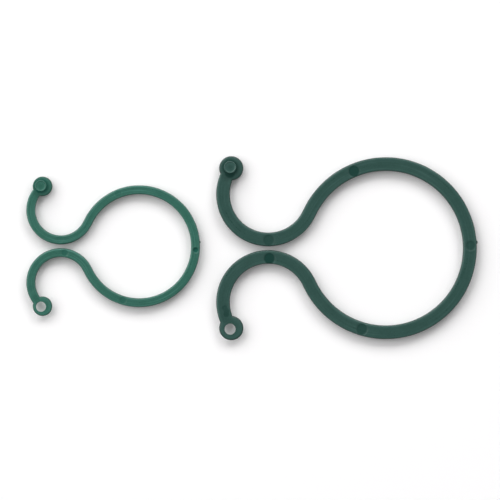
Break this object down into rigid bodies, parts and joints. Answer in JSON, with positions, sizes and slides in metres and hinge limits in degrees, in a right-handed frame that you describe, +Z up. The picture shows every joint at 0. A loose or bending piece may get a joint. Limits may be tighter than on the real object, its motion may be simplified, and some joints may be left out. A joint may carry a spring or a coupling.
{
  "type": "orchid clip",
  "caption": "Springy open-ring plant clip with two outward hooks that cross and snap together, stud into eyelet; a larger and a smaller one.",
  "frame": {"origin": "middle of the pair of clips, on the plane that both lie on", "axes": "+X from the small clip to the large one, away from the mouths; +Y towards the stud arms; +Z up"},
  "size_m": [0.1128, 0.046, 0.0041],
  "materials": {
    "large_green": "satin moulded plastic, dark green",
    "small_green": "satin moulded plastic, green"
  },
  "bodies": {
    "large_back": {"large_ring_back": "large_green"},
    "large_flex": {"large_ring_flex": "large_green"},
    "large_stud_arm": {"large_stud_side_arc": "large_green", "large_stud_hook": "large_green", "large_stud_pad": "large_green", "large_stud_post": "large_green", "large_stud_head": "large_green"},
    "large_eyelet_arm": {"large_eyelet_side_arc": "large_green"},
    "large_eyelet_end": {"large_eyelet_hook": "large_green", "large_eyelet_pad": "large_green"},
    "small_back": {"small_ring_back": "small_green"},
    "small_flex": {"small_ring_flex": "small_green"},
    "small_stud_arm": {"small_stud_side_arc": "small_green", "small_stud_hook": "small_green", "small_stud_pad": "small_green", "small_stud_post": "small_green", "small_stud_head": "small_green"},
    "small_eyelet_arm": {"small_eyelet_side_arc": "small_green"},
    "small_eyelet_end": {"small_eyelet_hook": "small_green", "small_eyelet_pad": "small_green"}
  },
  "joints": [
    {"name": "large_stud_arm_spread", "type": "hinge", "parent": "large_back", "child": "large_stud_arm", "pos_m": [0.04473, 0.01969, 0.0012], "axis": [0, 0, -1], "range_deg": [0, 25], "stiffness_Nm_per_rad": 0.08},
    {"name": "large_eyelet_arm_close", "type": "hinge", "parent": "large_back", "child": "large_flex", "pos_m": [0.05262, 0, 0.0012], "axis": [0, 0, -1], "range_deg": [0, 38.32], "stiffness_Nm_per_rad": 0.08, "deforming": ["large_ring_flex", "large_eyelet_side_arc", "large_eyelet_hook", "large_eyelet_pad"]},
    {"name": "large_eyelet_arm_rise", "type": "slide", "parent": "large_flex", "child": "large_eyelet_arm", "axis": [0, 0, 1], "range_m": [0, 0.00265]},
    {"name": "large_eyelet_press", "type": "hinge", "parent": "large_eyelet_arm", "child": "large_eyelet_end", "pos_m": [0.01428, -0.00877, 0.0012], "axis": [0.4176, -0.9086, 0], "range_deg": [0, 3.78]},
    {"name": "small_stud_arm_spread", "type": "hinge", "parent": "small_back", "child": "small_stud_arm", "pos_m": [-0.02062, 0.01369, 0.0011], "axis": [0, 0, -1], "range_deg": [0, 25], "stiffness_Nm_per_rad": 0.028},
    {"name": "small_eyelet_arm_close", "type": "hinge", "parent": "small_back", "child": "small_flex", "pos_m": [-0.01529, 0.00048, 0.0011], "axis": [0, 0, -1], "range_deg": [0, 43.91], "stiffness_Nm_per_rad": 0.028, "deforming": ["small_ring_flex", "small_eyelet_side_arc", "small_eyelet_hook", "small_eyelet_pad"]},
    {"name": "small_eyelet_arm_rise", "type": "slide", "parent": "small_flex", "child": "small_eyelet_arm", "axis": [0, 0, 1], "range_m": [0, 0.00245]},
    {"name": "small_eyelet_press", "type": "hinge", "parent": "small_eyelet_arm", "child": "small_eyelet_end", "pos_m": [-0.04104, -0.00544, 0.0011], "axis": [0.42, -0.9075, 0], "range_deg": [0, 5.57]},
    {"name": "small_clip_lift", "type": "slide", "parent": "large_back", "child": "small_back", "axis": [0, 0, 1], "range_m": [0, 0.03]}
  ],
  "couplings": [
    {"joint": "large_eyelet_arm_rise", "follows": "large_eyelet_arm_close", "m_per_rad": 0.0039623},
    {"joint": "large_eyelet_press", "follows": "large_eyelet_arm_close", "ratio": 0.09867},
    {"joint": "small_eyelet_arm_rise", "follows": "small_eyelet_arm_close", "m_per_rad": 0.003197},
    {"joint": "small_eyelet_press", "follows": "small_eyelet_arm_close", "ratio": 0.12676}
  ]
}
